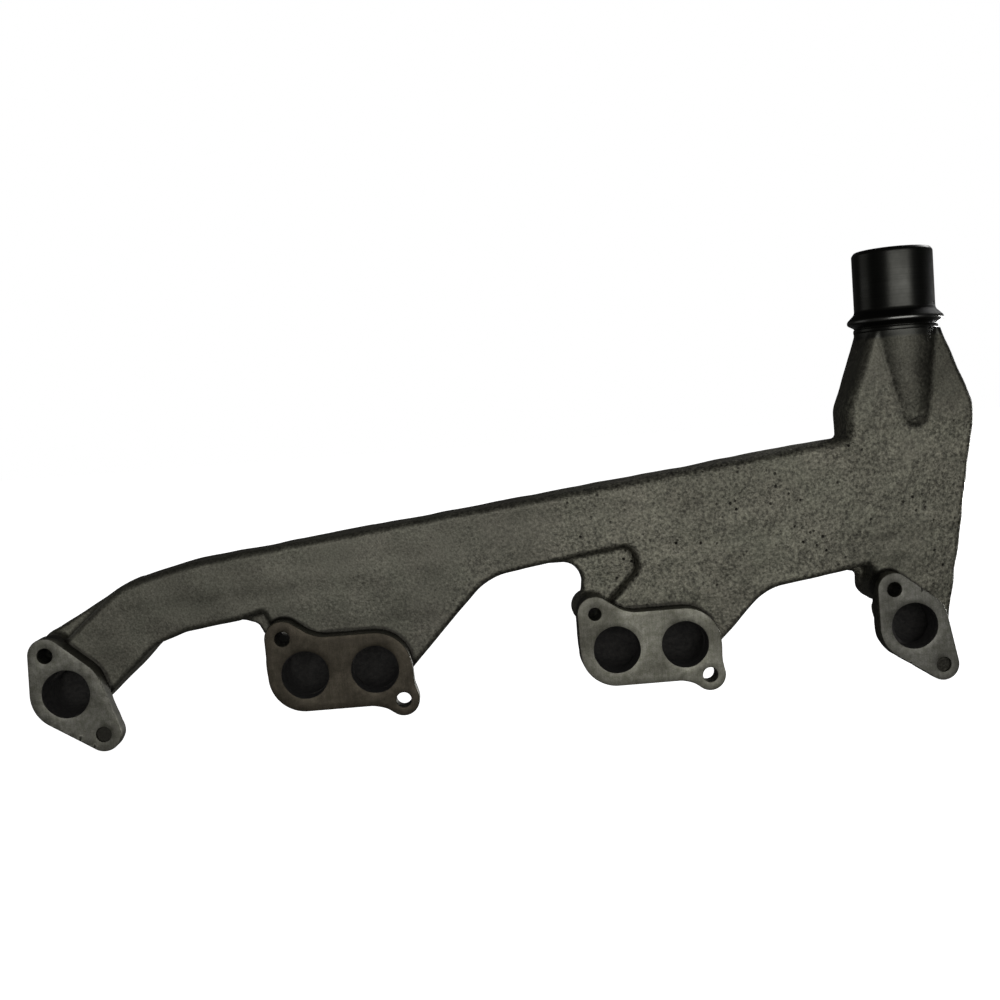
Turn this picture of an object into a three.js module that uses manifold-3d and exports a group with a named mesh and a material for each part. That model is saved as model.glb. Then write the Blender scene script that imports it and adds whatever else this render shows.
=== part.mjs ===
// Exhaust manifold for an in-line six-cylinder engine: a hollow iron casting with four port
// flanges (ports 1, 2+3, 4+5 and 6), a rising log, a collector and one vertical round outlet.
//
// Millimetres. X runs along the engine, +Z is up along the outlet, and the machined port faces
// lie in the plane Y = 0 and look along -Y. The outlines below are measured from the engine's
// middle, which is midway between ports 3 and 4 on the port centre line. The finished group is
// shifted so that its origin is on the face of flange 2-3, midway between ports 2 and 3.
// The casting is divided into its working regions, which stand a hairline GAP apart: each one is
// a closed solid and a mesh of its own.

import * as THREE from "three";
import { mergeVertices } from "three/addons/utils/BufferGeometryUtils.js";
import Module from "manifold-3d";

const wasm = await Module();
wasm.setup();

// ---- Driving dimensions ----

const GAP = 0.3; // between neighbouring regions
const WALL = 6; // casting wall

const PORT_X = [-335, -150, -95.5, 95.5, 150, 335]; // port centres, all at Z = 0
const PORT_R = 18.5;
const BOLT_R = 6; // plain holes for M10 studs
const LOCATING_R = 5.2; // the one close-fitting stud hole, which locates the casting
const FLANGE_T = 16; // flange thickness, from the machined face at Y = 0

const BODY_FRONT = FLANGE_T; // Y of the body's flat front
const BODY_DEPTH = 48;
const BODY_BACK = BODY_FRONT + BODY_DEPTH;
const BODY_EDGE = 5; // rounding of the body's long edges
const PASSAGE_EDGE = 4; // the same inside
const MID_Y = BODY_FRONT + BODY_DEPTH / 2; // parting plane, and the outlet's own plane

const RUNNER_R = PORT_R + WALL; // outside of a runner round its port
const THROAT_END = BODY_FRONT + 12; // Y where the round throat behind each port ends
const PORT_END = BODY_FRONT + WALL + 1; // Y where a port's round bore has reached the passage
const ELBOW_R = 40; // rounding of the body's lower back, where the gas turns upwards
const BOSS_R = 13; // long bosses behind the upper bolts
const BOSS_END = 56; // Y of their bolt seats
const WEB_EDGE = 2; // rounding of the webs between the long bosses and the body

const OUTLET_X = 346.5;
const COLLECTOR_LEFT = 296;
const COLLECTOR_RIGHT = 398.5;
const SPIGOT_R = 31.75; // takes a 63.5 mm pipe
const BORE_R = 25.75;
const BORE_FOOT = 187; // where the straight bore begins, inside the neck
const SPIGOT_TOP = 302;
const SPIGOT_CHAMFER = 2.5;
const BEAD_Z = 245; // the stop ring that the pipe comes down to
const BEAD_HALF = 9; // half the ring's height, with its hollow flanks
const NECK_R = 33; // top of the conical neck
const NECK_TIP_R = 24.7; // its foot, which sinks into the flat faces
const NECK_LEAN = 0.06; // radians, towards +X going down
const NECK_TOP = BEAD_Z - BEAD_HALF;
const NECK_TIP = 157;
const HOOD_LEAN = 19 / 50.5; // how far the hood's sides lean in, per millimetre up
const HOOD_FOOT = 175.5; // where they start to

// The ring's outside: [radius, height from its middle], from the neck up to the spigot.
const BEAD_SECTION = [
  [NECK_R - 0.8, GAP - BEAD_HALF],
  [NECK_R, -5],
  [37, -1.8],
  [37.8, 0],
  [36.6, 1.8],
  [33.25, 5.5],
  [SPIGOT_R, BEAD_HALF],
];

const ARC_STEP = Math.PI / 9; // largest facet of an outline's corner
const EDGE_STEPS = 3; // facets across a rounded edge
const ROUND_SEGMENTS = 40; // facets round a port or the outlet
const BOLT_SEGMENTS = 20;
const SHARP = 0.1; // corners with a smaller radius stay sharp
const SAME_POINT = 1e-4; // corners closer than this are one point
const PASS_BY = 5; // how far a hole is cut beyond the surface that it opens in

// Bolts and flange lobes, measured from the port (single) or from midway between the two (double).
// A lower ear grows from its root circle, or from the lobe round the port where it has none.
const SINGLE_FRONT = {
  half: 0, // half the distance between the flange's ports
  lobeR: 28,
  upper: { x: -13.5, z: 31, r: 13.5 },
  lower: { x: 26, z: -33.8, r: 13.5 },
};
const SINGLE_REAR = {
  ...SINGLE_FRONT,
  upper: { x: -15, z: 30.2, r: 13.5 },
  lower: { x: 22, z: -33, r: 12.7 },
};
const DOUBLE_FRONT = {
  half: (PORT_X[2] - PORT_X[1]) / 2,
  lobeR: 29,
  upper: { x: -43, z: 29.5, r: 14 },
  lower: { x: 47.8, z: -26, r: 12.5, root: { x: 35, z: -8, r: 20 } },
};
const DOUBLE_REAR = {
  ...DOUBLE_FRONT,
  upper: { ...DOUBLE_FRONT.upper, holeR: LOCATING_R },
  lower: { x: 45.8, z: -26, r: 12.5, root: { x: 34.5, z: -8, r: 20 } },
};
const FLANGES = [
  { name: "1", kind: SINGLE_FRONT, x: PORT_X[0] },
  { name: "2_3", kind: DOUBLE_FRONT, x: (PORT_X[1] + PORT_X[2]) / 2 },
  { name: "4_5", kind: DOUBLE_REAR, x: (PORT_X[3] + PORT_X[4]) / 2 },
  { name: "6", kind: SINGLE_REAR, x: PORT_X[5] },
];

// ---- Outlines in the XZ plane: corners [x, z, corner radius], anticlockwise seen from -Y ----

const HOOD_HEIGHT = 86; // of its outline, which ends out of sight inside the outlet

// The whole body: runner ends under the ports, the arches between them, collector, hood and log.
const BODY = [
  // runner 1 and the underside of the front elbow
  [PORT_X[0] - RUNNER_R, -RUNNER_R, RUNNER_R - 1],
  [PORT_X[0] + 8.5, -RUNNER_R, 15],
  [-268, 29, 40],
  [-243, 38.5, 30],
  // inner corners that clear the upper bolt, then runner 2-3
  [-200, 44.5, 20],
  [-181.5, 50, 3],
  [-176.5, 38.3, 5.5],
  [-156, 38.3, 4],
  [-156, 24, 6],
  [PORT_X[1] - RUNNER_R, 9, 12],
  [PORT_X[1] - RUNNER_R, -RUNNER_R, RUNNER_R],
  [PORT_X[2] + 10, -RUNNER_R, RUNNER_R],
  [-2, 63, 50],
  // window above the upper bolt, then runner 4-5
  [116, 80, 10],
  [120, 60, 10],
  [72, 13, 12],
  [PORT_X[3] - RUNNER_R, -RUNNER_R, RUNNER_R],
  [PORT_X[4] + 12, -RUNNER_R, RUNNER_R],
  [222, 35.5, 40],
  // inner corners that clear the upper bolt, then runner 6 and the right-hand wall
  [308, 49.5, 5],
  [312, 38.9, 5.5],
  [331, 38.9, 4],
  [331, 24, 12],
  [321, 10, 12],
  [321, -RUNNER_R, 20],
  [PORT_X[5] + RUNNER_R + 7, -RUNNER_R, RUNNER_R],
  // collector and hood
  [COLLECTOR_RIGHT, 158, 40],
  [COLLECTOR_RIGHT, HOOD_FOOT, 25],
  [COLLECTOR_RIGHT - HOOD_HEIGHT * HOOD_LEAN, HOOD_FOOT + HOOD_HEIGHT, 12],
  [COLLECTOR_LEFT + HOOD_HEIGHT * HOOD_LEAN, HOOD_FOOT + HOOD_HEIGHT, 12],
  [COLLECTOR_LEFT, HOOD_FOOT, 25],
  [COLLECTOR_LEFT, 153, 3],
  // top of the log and the outside of the elbow
  [-234, 92.8, 80],
  [-292, 79, 60],
  // inner corner that clears the upper bolt of runner 1
  [-338.5, 37.5, 12],
  [-338.5, 24, 6],
  [PORT_X[0] - RUNNER_R, 9, 12],
];

// Regions of the body, as polygons that share their edges.
const TOP = 400;
const BOTTOM = -100;
const FAR = 500;
const BEHIND = 100; // Y beyond the body's back
const LOG_START = -240;
const LOG_SPLIT = 15;
const LOG_END = 288;
const HOOD_START = NECK_TIP - 1;
const RUNNER_6_TOP = 46;
const REGIONS = {
  front_elbow: [[-FAR, BOTTOM], [LOG_START, BOTTOM], [LOG_START, TOP], [-FAR, TOP]],
  log_front: [
    [LOG_START, 0], [-192, 0], [-192, 46], [-4, 58], [LOG_SPLIT, 58], [LOG_SPLIT, TOP],
    [LOG_START, TOP],
  ],
  log_rear: [
    [LOG_SPLIT, 50], [100, 46], [226, 34], [226, 0], [LOG_END, 0], [LOG_END, TOP],
    [LOG_SPLIT, TOP],
  ],
  runner_2_3: [[-192, BOTTOM], [-4, BOTTOM], [-4, 58], [-192, 46]],
  runner_4_5: [[50, BOTTOM], [226, BOTTOM], [226, 34], [100, 46], [50, 48]],
  runner_6: [[300, BOTTOM], [FAR, BOTTOM], [FAR, RUNNER_6_TOP], [300, RUNNER_6_TOP]],
  collector: [
    [LOG_END, 0], [300, 0], [300, RUNNER_6_TOP], [FAR, RUNNER_6_TOP], [FAR, HOOD_START],
    [LOG_END, HOOD_START],
  ],
  outlet_hood: [[LOG_END, HOOD_START], [FAR, HOOD_START], [FAR, NECK_TOP], [LOG_END, NECK_TOP]],
};

// Webs that tie each long boss to the body, in the same order as FLANGES: Y of the front and of
// the back, and the outline.
const WEBS = [
  {
    front: 31,
    back: 45,
    outline: [[-353, 26, 4], [-318, 30, 4], [-262, 88, 4], [-296, 75, 30], [-355.2, 42.8, 4]],
  },
  {
    front: 31,
    back: 45,
    outline: [
      [-180, 22, 4], [-150, 26, 4], [-150, 60, 4], [-210, 60, 4], [-206, 44.5, 4], [-191, 38, 8],
    ],
  },
  {
    front: 31,
    back: 45,
    outline: [
      [66, 26, 4], [90, 16, 4], [128, 52, 4], [124, 92, 4], [46, 84, 4], [44, 70, 4],
      [77, 68, 16], [74, 42, 6],
    ],
  },
  {
    front: 44,
    back: BOSS_END,
    outline: [[308, 26, 4], [340, 20, 4], [340, 60, 4], [292, 60, 4], [290, 43, 4], [306, 40, 6]],
  },
];

// ---- Materials ----

const asCast = new THREE.MeshStandardMaterial({ color: 0x4a4844, roughness: 0.85, metalness: 0.4 });
const machined = new THREE.MeshStandardMaterial({ color: 0x5f5d57, roughness: 0.6, metalness: 0.6 });
const turned = new THREE.MeshStandardMaterial({ color: 0x35342f, roughness: 0.45, metalness: 0.7 });

// ---- Outline helpers ----

// The outline with every edge moved inwards by d, and its corner radii kept concentric.
function inset(corners, d) {
  const n = corners.length;
  const moved = corners.map(([x, z], i) => {
    const [nx, nz] = corners[(i + 1) % n];
    const along = new THREE.Vector2(nx - x, nz - z).normalize();
    return { x: x - along.y * d, z: z + along.x * d, along };
  });
  return corners.map(([x, z, r = 0], i) => {
    const a = moved[(i + n - 1) % n];
    const b = moved[i];
    const turn = a.along.cross(b.along); // positive at a corner that juts out
    const t = ((b.x - a.x) * b.along.y - (b.z - a.z) * b.along.x) / turn;
    return [a.x + a.along.x * t, a.z + a.along.y * t, Math.max(r - Math.sign(turn) * d, 0)];
  });
}

// A closed shape whose corners are true arcs of their own radii.
function roundedShape(corners) {
  const n = corners.length;
  const points = [];
  corners.forEach(([x, z, r = 0], i) => {
    const here = new THREE.Vector2(x, z);
    const back = new THREE.Vector2(...corners[(i + n - 1) % n].slice(0, 2)).sub(here).normalize();
    const ahead = new THREE.Vector2(...corners[(i + 1) % n].slice(0, 2)).sub(here).normalize();
    const opening = Math.acos(THREE.MathUtils.clamp(back.dot(ahead), -1, 1));
    if (r < SHARP) {
      points.push(here);
      return;
    }
    const middle = back.clone().add(ahead).normalize();
    const centre = here.clone().addScaledVector(middle, r / Math.sin(opening / 2));
    const from = here.clone().addScaledVector(back, r / Math.tan(opening / 2)).sub(centre);
    const sweep = (Math.PI - opening) * Math.sign(-back.cross(ahead));
    const steps = Math.max(1, Math.ceil(Math.abs(sweep) / ARC_STEP));
    for (let k = 0; k <= steps; k++)
      points.push(from.clone().rotateAround(new THREE.Vector2(), (sweep * k) / steps).add(centre));
  });
  return new THREE.Shape(points);
}

// ---- Solid helpers ----

// A closed geometry as a manifold-3d solid.
function solid(geometry) {
  const bare = new THREE.BufferGeometry();
  bare.setAttribute("position", geometry.getAttribute("position"));
  if (geometry.index) bare.setIndex(geometry.index);
  const merged = mergeVertices(bare, SAME_POINT);
  const corners = merged.index.array;
  const kept = [];
  for (let i = 0; i < corners.length; i += 3) {
    const [a, b, c] = corners.slice(i, i + 3);
    if (a !== b && b !== c && c !== a) kept.push(a, b, c);
  }
  const vertProperties = merged.getAttribute("position").array;
  const triVerts = new Uint32Array(kept);
  return new wasm.Manifold(new wasm.Mesh({ numProp: 3, vertProperties, triVerts }));
}

const union = (solids) => solids.reduce((whole, each) => whole.add(each));

// An outline in XZ as a slab from y0 to y1, with rounded front and back edges.
function slab(corners, y0, y1, edge = 0) {
  const geometry = new THREE.ExtrudeGeometry(roundedShape(corners), {
    depth: y1 - y0 - 2 * edge,
    bevelEnabled: edge > 0,
    bevelThickness: edge,
    bevelSize: edge,
    bevelOffset: -edge,
    bevelSegments: EDGE_STEPS,
  });
  geometry.rotateX(Math.PI / 2).translate(0, y1 - edge, 0);
  return solid(geometry);
}

// A slab along X with the body's own side profile: flat front and back, rounded lower back.
function sideProfile(front, back, bottom, r) {
  const corners = [[front, bottom], [back, bottom, r], [back, TOP], [front, TOP]];
  const geometry = new THREE.ExtrudeGeometry(roundedShape(corners), {
    depth: 2 * FAR,
    bevelEnabled: false,
  });
  geometry.rotateX(Math.PI / 2).rotateZ(Math.PI / 2).translate(-FAR, 0, 0);
  return solid(geometry);
}

// A round bar along Y.
function bar(x, z, r, y0, y1, segments = ROUND_SEGMENTS) {
  const geometry = new THREE.CylinderGeometry(r, r, y1 - y0, segments);
  geometry.translate(x, (y0 + y1) / 2, z);
  return solid(geometry);
}

// A body turned about the outlet's axis, from a closed profile of [radius, z].
function turnedBody(profile, lean = 0) {
  const points = profile.map(([r, z]) => new THREE.Vector2(r, z - NECK_TOP));
  const geometry = new THREE.LatheGeometry([...points, points[0].clone()], ROUND_SEGMENTS);
  geometry.rotateX(Math.PI / 2).rotateY(-lean).translate(OUTLET_X, MID_Y, NECK_TOP);
  return solid(geometry);
}

// A plate whose outline is two circles and the straight lines that touch both.
function lobe(a, b, y0, y1) {
  const dx = b.x - a.x;
  const dz = b.z - a.z;
  const heading = Math.atan2(dz, dx);
  const lean = Math.acos((a.r - b.r) / Math.hypot(dx, dz));
  const corner = (c, angle) =>
    new THREE.Vector2(c.x + c.r * Math.cos(angle), c.z + c.r * Math.sin(angle));
  const shape = new THREE.Shape([
    corner(a, heading + lean), corner(a, heading - lean),
    corner(b, heading - lean), corner(b, heading + lean),
  ]);
  const geometry = new THREE.ExtrudeGeometry(shape, { depth: y1 - y0, bevelEnabled: false });
  geometry.rotateX(Math.PI / 2).translate(0, y1, 0);
  return union([solid(geometry), bar(a.x, a.z, a.r, y0, y1), bar(b.x, b.z, b.r, y0, y1)]);
}

// ---- The casting ----

const at = (flange, point) => ({ x: flange.x + point.x, z: point.z, r: point.r });
const portsOf = (flange) =>
  flange.kind.half ? [flange.x - flange.kind.half, flange.x + flange.kind.half] : [flange.x];

function bolts() {
  return union(
    FLANGES.flatMap((flange) =>
      [flange.kind.upper, flange.kind.lower].map((bolt) =>
        bar(flange.x + bolt.x, bolt.z, bolt.holeR ?? BOLT_R, -PASS_BY, BODY_BACK, BOLT_SEGMENTS),
      ),
    ),
  );
}

// The conical neck that shows as a tapered rib on the hood's front and back. It runs a little
// past the hood, where the cut between hood and outlet trims it.
function neck(d) {
  const end = NECK_TOP + PASS_BY;
  const profile = [
    [0, NECK_TIP], [NECK_TIP_R + d, NECK_TIP], [NECK_R + d, NECK_TOP], [NECK_R + d, end],
    [0, end],
  ];
  return turnedBody(profile, NECK_LEAN);
}

// The outside of the body, grown by d all round.
function bodyOutside(d) {
  const flat = slab(inset(BODY, -d), BODY_FRONT - d, BODY_BACK + d, BODY_EDGE);
  const elbows = sideProfile(0, BODY_BACK + d, -RUNNER_R - d, ELBOW_R + d);
  const throats = PORT_X.map((x) => bar(x, 0, RUNNER_R + d, BODY_FRONT - d, THROAT_END + d));
  return union([flat.intersect(elbows), ...throats]);
}

// Everything the gas flows through: the inside of the body, the ports and the outlet.
function passage() {
  const inside = slab(inset(BODY, WALL), BODY_FRONT + WALL, BODY_BACK - WALL, PASSAGE_EDGE);
  const elbows = sideProfile(0, BODY_BACK - WALL, WALL - RUNNER_R, ELBOW_R - WALL);
  const low = slab([[-FAR, BOTTOM], [FAR, BOTTOM], [FAR, NECK_TOP], [-FAR, NECK_TOP]], 0, BEHIND);
  const ports = PORT_X.map((x) => bar(x, 0, PORT_R, -PASS_BY, PORT_END));
  const outlet = turnedBody([[0, BORE_FOOT], [BORE_R, BORE_FOOT], [BORE_R, TOP], [0, TOP]]);
  const kept = inside.intersect(elbows).intersect(low);
  return union([kept, neck(BORE_R - NECK_R), outlet, ...ports]);
}

// One port flange: lobes round its ports, with a tab and an ear for the bolts.
function flangeSolid(flange, gas, holes) {
  const { kind } = flange;
  const ends = portsOf(flange).map((x) => ({ x, z: 0, r: kind.lobeR }));
  const first = ends[0];
  const last = ends[ends.length - 1];
  const root = kind.lower.root ? at(flange, kind.lower.root) : last;
  const pieces = [
    lobe(first, at(flange, kind.upper), 0, FLANGE_T - GAP),
    lobe(root, at(flange, kind.lower), 0, FLANGE_T - GAP),
  ];
  if (first !== last) {
    const r = kind.lobeR;
    const middle = [[first.x, -r], [last.x, -r], [last.x, r], [first.x, r]];
    pieces.push(slab(middle, 0, FLANGE_T - GAP));
  }
  return union(pieces).subtract(gas).subtract(holes);
}

// One long boss with its web, clear of the body.
function bossSolid(flange, web, grownBody, holes) {
  const bolt = at(flange, flange.kind.upper);
  const boss = bar(bolt.x, bolt.z, BOSS_R, FLANGE_T, BOSS_END);
  const whole = boss.add(slab(web.outline, web.front, web.back, WEB_EDGE));
  const trimmed = whole.subtract(grownBody).subtract(holes);
  return trimmed.decompose().sort((a, b) => b.volume() - a.volume())[0];
}

function beadSolid() {
  const outside = BEAD_SECTION.map(([r, height]) => [r, BEAD_Z + height]);
  const low = outside[0][1];
  const high = BEAD_Z + BEAD_HALF;
  return turnedBody([[BORE_R, low], ...outside, [BORE_R, high]]);
}

function spigotSolid() {
  const low = BEAD_Z + BEAD_HALF + GAP;
  return turnedBody([
    [BORE_R, low], [SPIGOT_R, low], [SPIGOT_R, SPIGOT_TOP - SPIGOT_CHAMFER],
    [SPIGOT_R - SPIGOT_CHAMFER, SPIGOT_TOP], [BORE_R, SPIGOT_TOP],
  ]);
}

// ---- Assembly ----

function meshOf(name, made, material) {
  const { numProp, vertProperties, triVerts } = made.getMesh();
  const points = new Float32Array((vertProperties.length / numProp) * 3);
  for (let i = 0; i < points.length / 3; i++)
    points.set(vertProperties.subarray(i * numProp, i * numProp + 3), i * 3);
  const indexed = new THREE.BufferGeometry()
    .setAttribute("position", new THREE.BufferAttribute(points, 3))
    .setIndex(new THREE.BufferAttribute(new Uint32Array(triVerts), 1));
  const geometry = indexed.toNonIndexed();
  geometry.computeVertexNormals();
  const mesh = new THREE.Mesh(geometry, material);
  mesh.name = name;
  return mesh;
}

const casting = new THREE.Group();
casting.position.x = -FLANGES[1].x; // the origin is on flange 2-3, midway between its ports
const manifold = new THREE.Group();
manifold.add(casting);
const gas = passage();
const holes = bolts();
const body = bodyOutside(0).subtract(gas).subtract(holes);
const grownBody = bodyOutside(GAP);

for (const [name, polygon] of Object.entries(REGIONS)) {
  const region = slab(inset(polygon, GAP / 2), -PASS_BY, BEHIND);
  if (name === "outlet_hood") {
    casting.add(meshOf(name, body.subtract(neck(GAP)).intersect(region), asCast));
    casting.add(meshOf("outlet_neck", neck(0).subtract(gas).intersect(region), asCast));
  } else {
    casting.add(meshOf(name, body.intersect(region), asCast));
  }
}
FLANGES.forEach((flange, i) => {
  const plate = flangeSolid(flange, gas, holes);
  const boss = bossSolid(flange, WEBS[i], grownBody, holes);
  casting.add(meshOf("port_flange_" + flange.name, plate, machined));
  casting.add(meshOf("bolt_boss_" + flange.name, boss, asCast));
});
casting.add(meshOf("outlet_bead", beadSolid(), turned));
casting.add(meshOf("outlet_spigot", spigotSolid(), turned));

export default manifold;
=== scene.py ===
"""Exhaust manifold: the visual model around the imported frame.

The shapes are worked out in millimetres in the drawing frame, whose X starts at the engine's
middle, and the finished meshes are moved into the row frame, in metres. The iron casting is one
distance field (outline, elbows, throats, bosses, webs, neck and fillets), meshed once and then
cut into its named regions, so that the skin runs on without a step from piece to piece. The
flanges and the turned outlet are meshed directly, with crisp machined edges.
"""

import math
from concurrent.futures import ThreadPoolExecutor

import bmesh
import bpy
import numpy as np
from mathutils import Matrix, Vector, geometry


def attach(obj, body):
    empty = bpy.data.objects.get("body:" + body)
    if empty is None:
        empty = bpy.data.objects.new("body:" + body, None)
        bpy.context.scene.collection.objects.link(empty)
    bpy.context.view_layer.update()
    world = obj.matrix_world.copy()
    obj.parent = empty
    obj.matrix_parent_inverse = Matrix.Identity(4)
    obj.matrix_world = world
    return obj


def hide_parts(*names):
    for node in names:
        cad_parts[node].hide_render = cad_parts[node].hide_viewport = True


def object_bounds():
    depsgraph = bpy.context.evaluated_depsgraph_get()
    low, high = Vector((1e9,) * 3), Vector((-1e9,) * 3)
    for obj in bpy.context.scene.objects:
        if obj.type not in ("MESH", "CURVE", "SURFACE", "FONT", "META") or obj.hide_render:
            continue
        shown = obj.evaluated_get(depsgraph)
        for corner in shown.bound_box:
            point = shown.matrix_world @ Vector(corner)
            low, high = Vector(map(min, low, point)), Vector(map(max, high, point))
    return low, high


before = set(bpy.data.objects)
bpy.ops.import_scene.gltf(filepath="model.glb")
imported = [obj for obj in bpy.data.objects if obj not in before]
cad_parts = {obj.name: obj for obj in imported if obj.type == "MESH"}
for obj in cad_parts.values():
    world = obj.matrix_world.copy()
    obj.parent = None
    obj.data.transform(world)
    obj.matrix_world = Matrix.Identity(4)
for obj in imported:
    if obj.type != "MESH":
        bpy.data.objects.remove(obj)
cad_low, cad_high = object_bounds()

MM = 0.001
SHIFT_X = 122.75  # drawing frame to row frame, mm

# ---- Dimensions, mm ----

WALL = 6.0
PORT_X = (-335.0, -150.0, -95.5, 95.5, 150.0, 335.0)
PORT_R = 18.5
BOLT_R = 6.0
LOCATING_R = 5.2  # the one close-fitting hole, upper in flange 4-5
FLANGE_T = 16.0
BODY_FRONT = 16.0
BODY_BACK = 64.0
MID_Y = (BODY_FRONT + BODY_BACK) / 2
OUTLET_X = 346.5
SPIGOT_R = 31.75
BORE_R = 25.75
SPIGOT_TOP = 302.0
NECK_TOP = 236.0
NECK_R = 33.0
RIB_R = 18.5  # foot of the rib that the neck leaves on the hood
RIB_LEAN = 9.0  # how far the rib's foot is in front of the middle plane
RIB_FOOT_X = 350.0
RIB_FOOT_Z = 169.3
BORE_FOOT = 228.0  # the outlet's bore starts at this Z
BEAD_TOP = 254.0
THROAT_R = 23.7  # short round throats between the body and the plates
BEND_Y = 9.5  # the elbows at the ports turn about a line at this y ...
BEND_Z = 30.0  # ... and this height,
BEND_R = 60.5  # with this radius outside
HOLE_DRAFT = 0.012  # of the upper stud holes behind the plate, mm per mm

# Corners [x, z, radius] of the body's outline, anticlockwise seen from -Y.
BODY = [
    (-359.5, -24.5, 23.5), (-326.5, -24.5, 15), (-268, 29, 40), (-243, 38.5, 30),
    (-200, 44.5, 20), (-181.5, 50, 3), (-176.5, 38.3, 5.5), (-156, 38.3, 4),
    (-156, 24, 6), (-174.5, 9, 12), (-174.5, -24.5, 24.5),
    (-85.5, -24.5, 24.5), (-2, 63, 50), (116, 80, 10), (120, 60, 10), (72, 13, 12),
    (71, -24.5, 24.5), (162, -24.5, 24.5), (222, 35.5, 40), (308, 49.5, 5),
    (312, 38.9, 5.5), (331, 38.9, 4), (331, 24, 12),
    (321, 10, 12), (321, -24.5, 20), (366.5, -24.5, 24.5), (398.5, 158, 40),
    (398.5, 175.5, 25), (366.14, 261.5, 12), (328.36, 261.5, 12), (296, 175.5, 25),
    (296, 153, 3), (-234, 92.8, 80), (-292, 79, 60), (-338.5, 37.5, 12), (-338.5, 24, 6),
    (-359.5, 9, 12),
]

# Webs that tie the long bosses to the body, flange by flange.
WEBS = [
    [(-353, 26, 4), (-318, 30, 4), (-262, 88, 4), (-296, 75, 30), (-355.2, 42.8, 4)],
    [(-180, 22, 4), (-150, 26, 4), (-150, 60, 4), (-208, 60, 4), (-203, 44, 4), (-188.5, 38, 8)],
    [(66, 26, 4), (90, 16, 4), (128, 52, 4), (124, 92, 4), (46, 84, 4), (44, 70, 4),
     (77, 68, 16), (74, 42, 6)],
    [(308, 26, 4), (340, 20, 4), (340, 60, 4), (292, 60, 4), (290, 43, 4), (306, 40, 6)],
]
WEB_DEPTHS = [(31.0, 45.0), (31.0, 45.0), (31.0, 45.0), (44.0, 56.0)]  # front and back
BOSS_R = 13.0
BOSS_BACK = 56.0  # Y of the long bosses' bolt seats

# Flanges: middle x, ports' half distance, lobe radius, upper tab, lower ear and the ear's root.
FLANGES = [
    ("1", -335.0, 0.0, 28.0, (-13.5, 31, 13.5), (26, -33.8, 13.5), None),
    ("2_3", -122.75, 27.25, 29.0, (-43, 29.5, 14), (47.8, -26, 12.5), (35, -8, 20)),
    ("4_5", 122.75, 27.25, 29.0, (-43, 29.5, 14), (45.8, -26, 12.5), (34.5, -8, 20)),
    ("6", 335.0, 0.0, 28.0, (-15, 30.2, 13.5), (22, -33, 12.7), None),
]

# Regions of the casting, as polygons in x and z that share their edges.
FAR = 600.0
REGIONS = {
    "front_elbow": [(-FAR, -100), (-240, -100), (-240, 400), (-FAR, 400)],
    "log_front": [(-240, 0), (-192, 0), (-192, 46), (-4, 58), (15, 58), (15, 400), (-240, 400)],
    "log_rear": [(15, 50), (100, 46), (226, 34), (226, 0), (288, 0), (288, 400), (15, 400)],
    "runner_2_3": [(-192, -100), (-4, -100), (-4, 58), (-192, 46)],
    "runner_4_5": [(50, -100), (226, -100), (226, 34), (100, 46), (50, 48)],
    "runner_6": [(300, -100), (FAR, -100), (FAR, 46), (300, 46)],
    "collector": [(288, 0), (300, 0), (300, 46), (FAR, 46), (FAR, 156), (288, 156)],
    "outlet_hood": [(288, 156), (FAR, 156), (FAR, NECK_TOP), (288, NECK_TOP)],
}

PITCH = 1.8  # of the casting's mesh


# ---- Distance helpers: arrays in, signed distance out, negative inside ----

def primitives(corners):
    """The straight runs and corner arcs of a rounded outline."""
    n = len(corners)
    points = [np.array(c[:2], float) for c in corners]
    arcs, ends = [], []
    for i, (x, z, r) in enumerate(corners):
        here = points[i]
        back = points[i - 1] - here
        ahead = points[(i + 1) % n] - here
        back = back / np.linalg.norm(back)
        ahead = ahead / np.linalg.norm(ahead)
        opening = math.acos(max(-1.0, min(1.0, float(back @ ahead))))
        middle = (back + ahead) / np.linalg.norm(back + ahead)
        centre = here + middle * (r / math.sin(opening / 2))
        reach = r / math.tan(opening / 2)
        convex = back[0] * ahead[1] - back[1] * ahead[0] < 0
        arcs.append((centre, -middle, r, math.cos((math.pi - opening) / 2), convex))
        ends.append((here + back * reach, here + ahead * reach))
    lines = []
    for i in range(n):
        start, stop = ends[i][1], ends[(i + 1) % n][0]
        length = float(np.linalg.norm(stop - start))
        if length > 1e-6:
            lines.append((start, (stop - start) / length, length))
    return arcs, lines


def outline_distance(shape, x, z):
    """Signed distance from a rounded outline."""
    arcs, lines = shape
    best = np.full(np.broadcast(x, z).shape, 1e6)
    for start, along, length in lines:
        dx, dz = x - start[0], z - start[1]
        s = dx * along[0] + dz * along[1]
        d = dx * along[1] - dz * along[0]
        better = (s > -0.01) & (s < length + 0.01) & (np.abs(d) < np.abs(best))
        best = np.where(better, d, best)
    for centre, towards, radius, limit, convex in arcs:
        dx, dz = x - centre[0], z - centre[1]
        r = np.hypot(dx, dz)
        inside = dx * towards[0] + dz * towards[1] >= (limit - 1e-4) * r
        d = (r - radius) if convex else (radius - r)
        better = inside & (np.abs(d) < np.abs(best))
        best = np.where(better, d, best)
    return best


def thick(flat, y, y0, y1, edge):
    """A flat shape given thickness from y0 to y1, with rounded edges."""
    q1 = flat + edge
    q2 = np.abs(y - (y0 + y1) / 2) - (y1 - y0) / 2 + edge
    outside = np.hypot(np.maximum(q1, 0), np.maximum(q2, 0))
    return np.minimum(np.maximum(q1, q2), 0) + outside - edge


def join(a, b, r):
    """Union with a fillet of radius r."""
    u, v = np.maximum(r - a, 0), np.maximum(r - b, 0)
    return np.maximum(r, np.minimum(a, b)) - np.hypot(u, v)


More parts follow.
